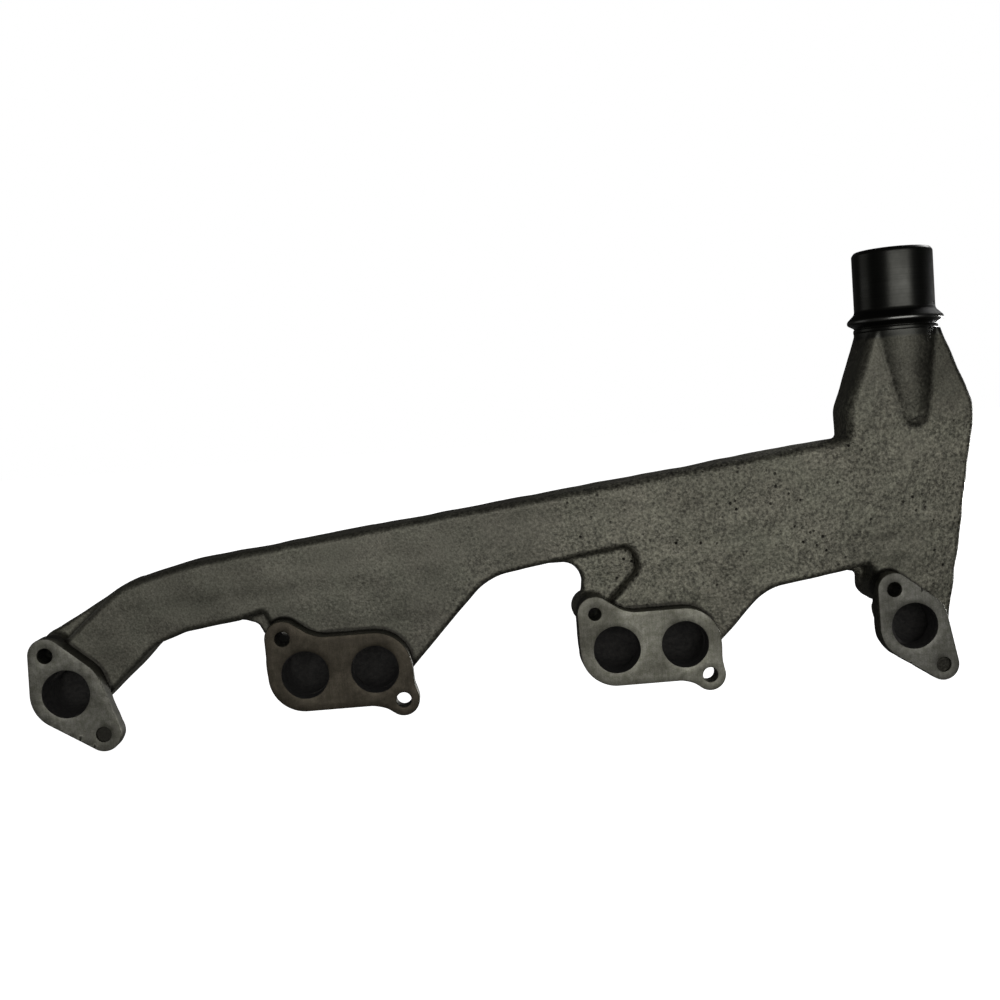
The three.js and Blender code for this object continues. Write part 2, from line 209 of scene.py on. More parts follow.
def common(a, b, r):
    """Intersection with a rounded edge of radius r."""
    u, v = np.maximum(r + a, 0), np.maximum(r + b, 0)
    return np.minimum(-r, np.maximum(a, b)) + np.hypot(u, v)


def capsule(x, z, a, b):
    """Flat hull of two circles (x, z, r)."""
    ax, az, ra = a
    bx, bz, rb = b
    ux, uz = bx - ax, bz - az
    length = math.hypot(ux, uz)
    ux, uz = ux / length, uz / length
    px, pz = x - ax, z - az
    along = px * ux + pz * uz
    across = np.abs(px * uz - pz * ux)
    lean = (ra - rb) / length
    upright = math.sqrt(max(0.0, 1 - lean * lean))
    k = along * upright - across * lean
    low = np.hypot(along, across) - ra
    high = np.hypot(along - length, across) - rb
    side = across * upright + along * lean - ra
    return np.where(k < 0, low, np.where(k > length * upright, high, side))


def round_cone(x, y, z, top, top_r, foot, foot_r):
    """Hull of two balls."""
    axis = np.array(foot, float) - np.array(top, float)
    length = float(np.linalg.norm(axis))
    ux, uy, uz = axis / length
    px, py, pz = x - top[0], y - top[1], z - top[2]
    along = px * ux + py * uy + pz * uz
    across = np.sqrt(np.maximum(px * px + py * py + pz * pz - along * along, 0))
    lean = (top_r - foot_r) / length
    upright = math.sqrt(1 - lean * lean)
    k = along * upright - across * lean
    low = np.hypot(along, across) - top_r
    high = np.hypot(along - length, across) - foot_r
    side = across * upright + along * lean - top_r
    return np.where(k < 0, low, np.where(k > length * upright, high, side))


BODY_SHAPE = primitives(BODY)
WEB_SHAPES = [primitives(web) for web in WEBS]
NEAR = 15.0  # how far a feature is felt
REACH = [(-372, -254), (-216, -60), (34, 190), (282, 376)]  # each flange's x, with boss and web


def flange_flat(kind, x, z):
    """A flange's outline: lobes round its ports, a tab above and an ear below."""
    _, middle, half, lobe, upper, lower, root = kind
    x = x - middle
    first, last = (-half, 0.0, lobe), (half, 0.0, lobe)
    tab = capsule(x, z, first, upper)
    if half:
        plate = capsule(x, z, first, last)
        ear = capsule(x, z, root, lower)
        fillet = 5.0 * np.clip(z / 12.0, 0, 1)  # only above, where the tab meets the plate
        return join(join(plate, tab, fillet), ear, 5.0)
    return np.minimum(tab, capsule(x, z, first, lower))


def bolt_radius(kind, bolt):
    return LOCATING_R if kind[0] == "4_5" and bolt is kind[4] else BOLT_R


def neck_outside(x, y, z, grow=0.0):
    """The round neck, with the rib that it leaves on the hood's front and back."""
    top = (OUTLET_X, MID_Y, NECK_TOP)
    feet = [(RIB_FOOT_X, MID_Y + side, RIB_FOOT_Z) for side in (-RIB_LEAN, RIB_LEAN)]
    ribs = [round_cone(x, y, z, top, NECK_R + grow, foot, RIB_R + grow) for foot in feet]
    return np.minimum(*ribs)


MOULD_WAVES = ((70, 0.22), (52, 0.16), (38, 0.12), (27, 0.09), (19, 0.07), (13, 0.05))


def waves(x, y, z):
    """The slight unevenness of a sand mould, in mm."""
    rng = np.random.default_rng(7)
    total = 0.0
    for length, height in MOULD_WAVES:
        for _ in range(2):
            direction = rng.normal(size=3)
            k = direction / np.linalg.norm(direction) * (2 * math.pi / length)
            phase = rng.uniform(0, 2 * math.pi)
            total = total + height * np.sin(x * k[0] + y * k[1] + z * k[2] + phase)
    return total


def body_edge(x, z):
    """Rounding of the body's long edges: larger on the log's top and the hood's left wall."""
    log_top = 92.8 + 0.1136 * (x + 234.0)  # the log's straight top line in BODY
    near_top = np.clip((z - log_top + 32.0) / 14, 0, 1) * np.clip((330.0 - x) / 30, 0, 1)
    rearward = np.clip((x + 40.0) / 180, 0, 1)
    left_wall = np.clip((328.0 - x) / 26, 0, 1) * np.clip((z - 142.0) / 20, 0, 1)
    return 4.6 + near_top * (1.3 + 2.5 * rearward) + 3.6 * left_wall * (1 - near_top)


def casting(x, y, z):
    """The whole iron casting behind the flange plates."""
    x_low, x_high = float(x.min()) - NEAR, float(x.max()) + NEAR
    ports = [px for px in PORT_X if x_low < px + PORT_R and px - PORT_R < x_high]
    near = [k for k in range(len(FLANGES)) if x_low < REACH[k][1] and REACH[k][0] < x_high]
    outlet = x_high > OUTLET_X - 40
    flat = outline_distance(BODY_SHAPE, x, z)
    bend = np.hypot(np.maximum(y - BEND_Y, 0), np.maximum(BEND_Z - z, 0))
    parting = 0.45 * np.exp(-((y - MID_Y) / 1.1) ** 2)  # the raised line where the mould parts
    outer = common(thick(flat, y, BODY_FRONT, BODY_BACK, body_edge(x, z)), bend - BEND_R, 6.0)
    for px in ports:
        outer = join(outer, thick(np.hypot(x - px, z) - THROAT_R, y, 8.0, 28.0, 2.0), 3.0)
    if outlet:
        outer = join(outer, neck_outside(x, y, z), 1.2)
    for k in near:
        kind, web = FLANGES[k], WEB_SHAPES[k]
        tab = kind[4]
        boss = thick(np.hypot(x - kind[1] - tab[0], z - tab[1]) - BOSS_R, y, 8.0, BOSS_BACK, 1.5)
        plate = thick(outline_distance(web, x, z), y, *WEB_DEPTHS[k], 3.0)
        outer = join(outer, join(boss, plate, 4.0), 4.0)
    uneven = waves(x, y, z)
    outer = outer + uneven - parting
    for k in near:
        skirt = thick(flange_flat(FLANGES[k], x, z) + 0.5, y, 3.0, FLANGE_T - 0.4, 0.5)
        outer = join(outer, skirt, 2.0)
    gas = thick(flat + WALL, y, BODY_FRONT + WALL, BODY_BACK - WALL, 5.0)
    gas = common(gas, bend - (BEND_R - WALL), 4.0)
    for px in ports:
        gas = join(gas, thick(np.hypot(x - px, z) - PORT_R, y, -20.0, 24.0, 1.0), 2.0)
    if outlet:
        gas = join(gas, neck_outside(x, y, z, -WALL - 1), 3.0)
        bore = np.hypot(x - OUTLET_X, y - MID_Y) - BORE_R
        gas = np.minimum(gas, np.maximum(bore, BORE_FOOT - z))
    gas = gas + 0.8 * uneven
    field = np.maximum(np.maximum(outer, -gas), z - NECK_TOP - 6)
    for k in near:
        kind = FLANGES[k]
        tab = kind[4]
        hole = bolt_radius(kind, tab) - HOLE_DRAFT * np.maximum(y - FLANGE_T, 0)
        field = np.maximum(field, hole - np.hypot(x - kind[1] - tab[0], z - tab[1]))
    return field


# ---- Mesh helpers ----

def in_chunks(work, p, size=6000):
    """Runs work on slices of the points, several at a time, and joins what it gives."""
    slices = [p[i:i + size] for i in range(0, len(p), size)]
    with ThreadPoolExecutor(4) as pool:
        return np.concatenate(list(pool.map(work, slices)))


def slope(field, h):
    """Work for in_chunks: the field's value and its gradient, by forward differences."""
    def work(p):
        value = field(*p.T)
        out = [value]
        for axis in range(3):
            q = p.copy()
            q[:, axis] += h
            out.append((field(*q.T) - value) / h)
        return np.stack(out, axis=1)
    return work


def clear_diagonals(f, pitch):
    """Removes patterns that would give edges shared by four faces."""
    fill = -0.05 * pitch
    for _ in range(12):
        found = 0
        for u, v in ((0, 1), (0, 2), (1, 2)):
            def corner(du, dv, u=u, v=v):
                s = [slice(None)] * 3
                s[u] = slice(1, None) if du else slice(0, -1)
                s[v] = slice(1, None) if dv else slice(0, -1)
                return f[tuple(s)]
            a, b, c, d = corner(0, 0), corner(1, 0), corner(0, 1), corner(1, 1)
            first = (a < 0) & (d < 0) & (b >= 0) & (c >= 0)
            second = (a >= 0) & (d >= 0) & (b < 0) & (c < 0)
            found += int(first.sum() + second.sum())
            b[first] = fill
            a[second] = fill
        if not found:
            return


def surface(field, low, high, pitch):
    """A closed mesh of a field's zero level: one vertex per crossed cell, moved onto the level."""
    axes = [np.arange(a, b + pitch, pitch) for a, b in zip(low, high)]
    x, y, z = (axes[0][:, None, None], axes[1][None, :, None], axes[2][None, None, :])
    f = np.empty([len(a) for a in axes])

    def slab(i):
        f[i:i + 12] = field(x[i:i + 12], y, z)

    with ThreadPoolExecutor(4) as pool:
        list(pool.map(slab, range(0, len(axes[0]), 12)))
    clear_diagonals(f, pitch)
    inside = f < 0
    cells = [n - 1 for n in f.shape]
    count = np.zeros(cells, np.int8)
    place = np.zeros(cells + [3])
    offsets = [(i, j, k) for i in (0, 1) for j in (0, 1) for k in (0, 1)]
    for o in offsets:
        for axis in range(3):
            if o[axis]:
                continue
            e = list(o)
            e[axis] = 1
            s0 = tuple(slice(a, a + n) for a, n in zip(o, cells))
            s1 = tuple(slice(a, a + n) for a, n in zip(e, cells))
            crossed = inside[s0] != inside[s1]
            f0, f1 = f[s0][crossed], f[s1][crossed]
            t = f0 / (f0 - f1)
            count[crossed] += 1
            base = place[crossed]
            base += np.array(o)
            base[:, axis] += t
            place[crossed] = base
    active = count > 0
    number = np.full(cells, -1)
    number[active] = np.arange(int(active.sum()))
    origin = np.array([a[0] for a in axes])
    p = (np.argwhere(active) + place[active] / count[active][:, None]) * pitch + origin
    quads = []
    for axis in range(3):
        u, v = (axis + 1) % 3, (axis + 2) % 3
        core = [slice(1, n) for n in cells]
        s0, s1 = list(core), list(core)
        s0[axis] = slice(0, cells[axis])
        s1[axis] = slice(1, cells[axis] + 1)
        a, b = inside[tuple(s0)], inside[tuple(s1)]
        for where, flip in ((a & ~b, False), (~a & b, True)):
            at = np.argwhere(where)
            at[:, u] += 1
            at[:, v] += 1
            ring = []
            for du, dv in ((-1, -1), (0, -1), (0, 0), (-1, 0)):
                cell = at.copy()
                cell[:, u] += du
                cell[:, v] += dv
                ring.append(number[cell[:, 0], cell[:, 1], cell[:, 2]])
            quad = np.stack(ring, axis=1)
            quads.append(quad[:, ::-1] if flip else quad)
    for _ in range(2):
        found = in_chunks(slope(field, 0.03), p)
        value, g = found[:, 0], found[:, 1:]
        size = np.maximum((g * g).sum(1), 0.25)
        move = -(value / size)[:, None] * g
        length = np.linalg.norm(move, axis=1)
        move *= np.minimum(1.0, 0.6 * pitch / np.maximum(length, 1e-9))[:, None]
        p = p + move
    return p, np.concatenate(quads)


def mesh_of(name, points, faces):
    """A Blender object from drawing-frame millimetres."""
    mesh = bpy.data.meshes.new(name)
    mesh.from_pydata([tuple(v) for v in points], [], [tuple(f) for f in faces])
    mesh.update()
    obj = bpy.data.objects.new(name, mesh)
    bpy.context.scene.collection.objects.link(obj)
    return obj


def quad_mesh(name, points, quads):
    """The same from numpy arrays of quads, which is quicker."""
    mesh = bpy.data.meshes.new(name)
    mesh.vertices.add(len(points))
    mesh.vertices.foreach_set("co", np.asarray(points, np.float32).ravel())
    mesh.loops.add(quads.size)
    mesh.loops.foreach_set("vertex_index", quads.astype(np.int32).ravel())
    mesh.polygons.add(len(quads))
    mesh.polygons.foreach_set("loop_start", np.arange(0, quads.size, 4, dtype=np.int32))
    mesh.update(calc_edges=True)
    mesh.validate()
    obj = bpy.data.objects.new(name, mesh)
    bpy.context.scene.collection.objects.link(obj)
    return obj


def prism(name, outline, y0, y1):
    """A closed prism over an outline in x and z, given anticlockwise seen from -Y."""
    n = len(outline)
    points = [(x, y0, z) for x, z in outline] + [(x, y1, z) for x, z in outline]
    faces = [list(range(n)), list(range(2 * n - 1, n - 1, -1))]
    faces += [[(i + 1) % n, i, i + n, (i + 1) % n + n] for i in range(n)]
    obj = mesh_of(name, points, faces)
    return tidy(obj)


def tidy(obj, triangles=True):
    """Turns every face outwards, and triangulates."""
    bm = bmesh.new()
    bm.from_mesh(obj.data)
    if triangles:
        bmesh.ops.triangulate(bm, faces=bm.faces)
    bmesh.ops.recalc_face_normals(bm, faces=bm.faces)
    bm.to_mesh(obj.data)
    bm.free()
    return obj


def cut(target, tool, operation):
    """A new object: target changed by tool. Neither is altered."""
    made = target.copy()
    made.data = target.data.copy()
    bpy.context.scene.collection.objects.link(made)
    modifier = made.modifiers.new("cut", "BOOLEAN")
    modifier.operation = operation
    modifier.solver = "MANIFOLD"
    modifier.object = tool
    graph = bpy.context.evaluated_depsgraph_get()
    mesh = bpy.data.meshes.new_from_object(made.evaluated_get(graph))
    made.modifiers.clear()
    made.data = mesh
    return made


def drop(*objs):
    for obj in objs:
        bpy.data.objects.remove(obj)


def keep_largest(obj, least=0.02):
    """Removes islands with under a share of the largest one's vertices."""
    bm = bmesh.new()
    bm.from_mesh(obj.data)
    bm.verts.ensure_lookup_table()
    seen = [False] * len(bm.verts)
    islands = []
    for v in bm.verts:
        if seen[v.index]:
            continue
        seen[v.index] = True
        stack, island = [v], []
        while stack:
            a = stack.pop()
            island.append(a)
            for e in a.link_edges:
                b = e.other_vert(a)
                if not seen[b.index]:
                    seen[b.index] = True
                    stack.append(b)
        islands.append(island)
    biggest = max((len(i) for i in islands), default=0)
    extra = [v for i in islands if len(i) < least * biggest for v in i]
    if extra:
        bmesh.ops.delete(bm, geom=extra, context="VERTS")
    bm.to_mesh(obj.data)
    bm.free()
    return obj


def loop_ring(points):
    """Resamples a closed polyline evenly, at 1.2 mm."""
    closed = np.vstack([points, points[:1]])
    step = np.linalg.norm(np.diff(closed, axis=0), axis=1)
    at = np.concatenate([[0], np.cumsum(step)])
    n = int(at[-1] / 1.2)
    s = np.linspace(0, at[-1], n, endpoint=False)
    return np.stack([np.interp(s, at, closed[:, 0]), np.interp(s, at, closed[:, 1])], axis=1)


def flange_outline(kind):
    """Points and outward normals of a flange's outline, by walking out along rays."""
    middle = kind[1]
    angles = np.linspace(0, 2 * math.pi, 900, endpoint=False)
    direction = np.stack([np.cos(angles), np.sin(angles)], axis=1)
    near, far = np.zeros(len(angles)), np.full(len(angles), 120.0)
    for _ in range(40):
        half_way = (near + far) / 2
        d = flange_flat(kind, middle + direction[:, 0] * half_way, direction[:, 1] * half_way)
        near, far = np.where(d < 0, half_way, near), np.where(d < 0, far, half_way)
    ring = loop_ring(direction * near[:, None] + np.array([middle, 0.0]))
    for _ in range(4):
        d, normal = flat_normal(kind, ring)
        ring = ring - d[:, None] * normal
    return ring, flat_normal(kind, ring)[1]


def flat_normal(kind, p, h=0.02):
    """Distance from a flange's outline at points p, and the outward normal there."""
    d = flange_flat(kind, p[:, 0], p[:, 1])
    gx = flange_flat(kind, p[:, 0] + h, p[:, 1]) - flange_flat(kind, p[:, 0] - h, p[:, 1])
    gz = flange_flat(kind, p[:, 0], p[:, 1] + h) - flange_flat(kind, p[:, 0], p[:, 1] - h)
    g = np.stack([gx, gz], axis=1)
    return d, g / np.linalg.norm(g, axis=1)[:, None]


def ring_of(x, z, r, n, wobble=0.0, phase=0.0):
    """A hole's circle, anticlockwise seen from -Y, with the slight wobble of a cored hole."""
    a = np.linspace(0, 2 * math.pi, n, endpoint=False)
    uneven = np.sin(2 * a + phase) + 0.7 * np.sin(3 * a + 2.1 * phase) + 0.5 * np.sin(7 * a - phase)
    rr = r + wobble * uneven
    return np.stack([x + rr * np.cos(a), z + rr * np.sin(a)], axis=1), a


def cap_faces(loops, y, spacing, facing):
    """Triangles that fill a flat plate with holes: points and faces, from loops of indices."""
    points = [Vector(p) for loop in loops for p in loop]
    edges, start = [], 0
    for loop in loops:
        n = len(loop)
        edges += [(start + i, start + (i + 1) % n) for i in range(n)]
        start += n
    outer = np.array([tuple(p) for p in loops[0]])
    low, high = outer.min(0), outer.max(0)
    inner = []
    row = 0
    z = low[1] + spacing
    while z < high[1]:
        x = low[0] + spacing * (0.5 if row % 2 else 1.0)
        while x < high[0]:
            free = inside_loop(loops[0], x, z) and not any(inside_loop(h, x, z) for h in loops[1:])
            if free and all(clear_of(loop, x, z, spacing * 0.6) for loop in loops):
                inner.append(Vector((x, z)))
            x += spacing
        z += spacing * 0.87
        row += 1
    out = geometry.delaunay_2d_cdt(points + inner, edges, [], 0, 1e-6)
    verts, faces = out[0], out[2]
    kept = []
    for face in faces:
        cx = sum(verts[i][0] for i in face) / len(face)
        cz = sum(verts[i][1] for i in face) / len(face)
        if inside_loop(loops[0], cx, cz) and not any(inside_loop(h, cx, cz) for h in loops[1:]):
            kept.append(list(face) if facing < 0 else list(face)[::-1])
    return [(v[0], y, v[1]) for v in verts], kept


def clear_of(loop, x, z, distance):
    d = np.hypot(loop[:, 0] - x, loop[:, 1] - z)
    return float(d.min()) > distance


def inside_loop(loop, x, z):
    x0, z0 = loop[:, 0], loop[:, 1]
    x1, z1 = np.roll(x0, -1), np.roll(z0, -1)
    crosses = (z0 > z) != (z1 > z)
    at = x0 + (z - z0) / np.where(crosses, z1 - z0, 1) * (x1 - x0)
    return int((crosses & (x < at)).sum()) % 2 == 1


TOOL_FRONT = -6.0  # the cutting plate reaches this far in front of the machined faces


def flange_mesh(kind, name, tool=False):
    """A flange plate: machined face at y = 0, cast sides, cored ports and drilled holes.

    As a tool it is the plain space that the plate takes, without holes.
    """
    _, middle, half, _, upper, lower, _ = kind
    ring, normal = flange_outline(kind)
    count = len(ring)
    phase = middle * 0.013
    s = np.arange(count) / count * 2 * math.pi
    uneven = (0.10 * np.sin(9 * s + phase) + 0.08 * np.sin(17 * s + 2 * phase)
              + 0.05 * np.sin(31 * s))
    # distance moved inwards and y, from the machined face to the back
    outer_levels = [(0.7, 0.0), (0.45, 0.08), (0.2, 0.3), (0.05, 0.62), (0.0, 1.1), (0.0, 5.0),
                    (0.0, 9.0), (0.0, 13.0), (0.1, 14.4), (0.45, 15.3), (1.0, 15.8), (1.7, 16.0)]
    if tool:
        outer_levels = [(0.0, TOOL_FRONT)] + outer_levels[4:]
    holes = [(middle + side * half, 0.0, PORT_R, 72, 0.16) for side in ((-1, 1) if half else (0,))]
    for bolt in (upper, lower):
        holes.append((middle + bolt[0], bolt[1], bolt_radius(kind, bolt), 36, 0.0))
    verts, faces = [], []

    def wall(levels, base, outward, turn):
        """Rings joined into a wall; returns the first and last ring's own indices."""
        firsts = []
        for inward, y in levels:
            rough = uneven[:, None] * min(1.0, max(0.0, (y - 0.6) / 3.0)) if turn > 0 else 0.0
            points = base - outward * (inward - rough)
            firsts.append(len(verts))
            verts.extend((p[0], y, p[1]) for p in points)
        n = len(base)
        for a, b in zip(firsts, firsts[1:]):
            for i in range(n):
                j = (i + 1) % n
                quad = [a + i, a + j, b + j, b + i]
                faces.append(quad if turn > 0 else quad[::-1])
        return firsts[0], firsts[-1]

    a, b = wall(outer_levels, ring, normal, 1)
    rings = [(a, b, count)]
    if not tool:
        for x, z, r, n, wobble in holes:
            base, angle = ring_of(x, z, r, n, wobble, x * 0.1)
            outward = -np.stack([np.cos(angle), np.sin(angle)], axis=1)
            c = 0.45 if wobble else 0.35
            levels = [(c, 0.0), (c * 0.4, c * 0.25), (0.0, c), (0.0, 4.0), (0.0, 8.0), (0.0, 12.0),
                      (0.0, 16.0)]
            a, b = wall(levels, base, outward, -1)
            rings.append((a, b, n))
    for which, facing in ((0, -1), (1, 1)):
        loops = [np.array([(verts[r[which] + i][0], verts[r[which] + i][2]) for i in range(r[2])])
                 for r in rings]
        indices = [r[which] + i for r in rings for i in range(r[2])]
        y = verts[rings[0][which]][1]
        points, fill = cap_faces(loops, y, 8.0 if tool else 4.0, facing)
        table = {}
        for k, p in enumerate(points):
            if k < len(indices):
                table[k] = indices[k]
            else:
                table[k] = len(verts)
                verts.append(p)
        faces.extend([table[i] for i in f] for f in fill)
    return mesh_of(name, verts, faces)


def lathe(name, profile, segments):
    """A closed turned body about the outlet's axis, from (radius, z) in order."""
    verts, faces = [], []
    n = len(profile)
    for k in range(segments):
        a = 2 * math.pi * k / segments
        verts.extend(
            (OUTLET_X + r * math.cos(a), MID_Y + r * math.sin(a), z) for r, z in profile
        )
    for k in range(segments):
        a, b = k * n, ((k + 1) % segments) * n
        for i in range(n):
            j = (i + 1) % n
            faces.append([a + i, b + i, b + j, a + j])
    return mesh_of(name, verts, faces)


def rounded_profile(corners, steps=4):
    """A lathe profile whose corners (radius, z, fillet) are rounded."""
    out = []
    n = len(corners)
    for i, (r, z, fillet) in enumerate(corners):
        here = np.array([r, z], float)
        if fillet <= 0:
            out.append((r, z))
            continue
        back = np.array(corners[i - 1][:2], float) - here
        ahead = np.array(corners[(i + 1) % n][:2], float) - here
        reach = min(fillet, 0.48 * np.linalg.norm(back), 0.48 * np.linalg.norm(ahead))
        p = here + back / np.linalg.norm(back) * reach
        q = here + ahead / np.linalg.norm(ahead) * reach
        for k in range(steps + 1):
            t = k / steps
            point = (1 - t) ** 2 * p + 2 * t * (1 - t) * here + t * t * q
            out.append((float(point[0]), float(point[1])))
    return out


def smooth_normals(obj, field, limit=0.55):
    """Shades a cut piece by the field's own slope, and its flat cuts by their faces."""
    mesh = obj.data
    count = len(mesh.vertices)
    p = np.empty(count * 3, np.float32)
    mesh.vertices.foreach_get("co", p)
    p = p.reshape(-1, 3).astype(float)
    g = in_chunks(slope(field, 0.1), p)[:, 1:]
    g /= np.maximum(np.linalg.norm(g, axis=1), 1e-9)[:, None]
    loops = len(mesh.loops)
    corner = np.empty(loops, np.int32)
    mesh.loops.foreach_get("vertex_index", corner)
    polygons = len(mesh.polygons)
    face_normal = np.empty(polygons * 3, np.float32)
    mesh.polygons.foreach_get("normal", face_normal)
    face_normal = face_normal.reshape(-1, 3)
    total = np.empty(polygons, np.int32)
    mesh.polygons.foreach_get("loop_total", total)
    owner = np.repeat(np.arange(polygons), total)
    by_face = face_normal[owner]
    by_field = g[corner]
    agree = (by_face * by_field).sum(1) > limit
    normals = np.where(agree[:, None], by_field, by_face)
    mesh.polygons.foreach_set("use_smooth", np.ones(polygons, bool))
    mesh.normals_split_custom_set(normals.tolist())


def write_dirt_and_shade(obj, spread):
    """Writes the point attribute that the skin's material reads as painted shade and dirt, from
    spread(x, y, z).
    """
    mesh = obj.data
    p = np.empty(len(mesh.vertices) * 3, np.float32)
    mesh.vertices.foreach_get("co", p)
    amount = mesh.attributes.new("dirt_and_shade", "FLOAT", "POINT")
    amount.data.foreach_set("value", spread(*p.reshape(-1, 3).astype(float).T).astype(np.float32))


def corner_shade_and_dirt(x, y, z):
    """Painted shade, with some dirt, in the corner that the body makes round each flange's root."""
    outside = np.min([flange_flat(kind, x, z) for kind in FLANGES], axis=0)
    return np.clip((3.2 - outside) / 1.4, 0, 1) * np.clip((24.0 - y) / 5, 0, 1)


def shaded_flange_side(x, y, z):
    """Painted shade on a flange's cast side, behind its machined face."""
    return 0.6 * np.clip((y - 2.0) / 3, 0, 1)


def place(obj):
    """Moves a finished mesh from drawing millimetres into the row frame."""
    obj.data.transform(Matrix.Scale(MM, 4) @ Matrix.Translation((SHIFT_X, 0, 0)))
    obj.matrix_world = Matrix.Identity(4)


# ---- Materials ----

def material(name, base, roughness, metallic, specular=0.5):
    made = bpy.data.materials.new(name)
    made.use_nodes = True
    tree = made.node_tree
    shader = tree.nodes["Principled BSDF"]
    shader.inputs["Base Color"].default_value = (*base, 1)
    shader.inputs["Roughness"].default_value = roughness
    shader.inputs["Metallic"].default_value = metallic
    shader.inputs["Specular IOR Level"].default_value = specular
    return made, tree, shader


def node(tree, kind, **values):
    made = tree.nodes.new(kind)
    for key, value in values.items():
        setattr(made, key, value)
    return made


def noise(tree, where, scale, detail=3.0, rough=0.5):
    made = node(tree, "ShaderNodeTexNoise")
    made.inputs["Scale"].default_value = scale
    made.inputs["Detail"].default_value = detail
    made.inputs["Roughness"].default_value = rough
    tree.links.new(where, made.inputs["Vector"])
    return made.outputs["Fac"]


def ramp(tree, value, stops):
    made = node(tree, "ShaderNodeValToRGB")
    elements = made.color_ramp.elements
    for i, (at, colour) in enumerate(stops):
        e = elements[i] if i < 2 else elements.new(at)
        e.position = at
        e.color = (*colour, 1)
    tree.links.new(value, made.inputs["Fac"])
    return made.outputs["Color"]


def maths(tree, operation, a, b):
    made = node(tree, "ShaderNodeMath", operation=operation)
    for socket, v in zip(made.inputs, (a, b)):
        if isinstance(v, (int, float)):
            socket.default_value = v
        else:
            tree.links.new(v, socket)
    return made.outputs[0]


def mix(tree, factor, a, b, blend="MIX"):
    made = node(tree, "ShaderNodeMix", data_type="RGBA", blend_type=blend)
    for socket, v in ((made.inputs[0], factor), (made.inputs[6], a), (made.inputs[7], b)):
        if isinstance(v, (int, float)):
            socket.default_value = v
        elif isinstance(v, tuple):
            socket.default_value = (*v, 1)
        else:
            tree.links.new(v, socket)
    return made.outputs[2]


def stepped(tree, value, start, stop, low=0.0, high=1.0):
    """Goes from low to high as the value goes from start to stop."""
    made = node(tree, "ShaderNodeMapRange")
    for socket, v in (("From Min", start), ("From Max", stop), ("To Min", low), ("To Max", high)):
        made.inputs[socket].default_value = v
    tree.links.new(value, made.inputs["Value"])
    return made.outputs["Result"]


def bumped(tree, shader, height, strength, distance):
    """Relief from a height; the strength is a number or a socket."""
    bump = node(tree, "ShaderNodeBump")
    bump.inputs["Distance"].default_value = distance
    if isinstance(strength, float):
        bump.inputs["Strength"].default_value = strength
    else:
        tree.links.new(strength, bump.inputs["Strength"])
    tree.links.new(height, bump.inputs["Height"])
    tree.links.new(bump.outputs["Normal"], shader.inputs["Normal"])


def object_coordinates(tree):
    return node(tree, "ShaderNodeTexCoord").outputs["Object"]


def grey(v):
    return (v, v, v)


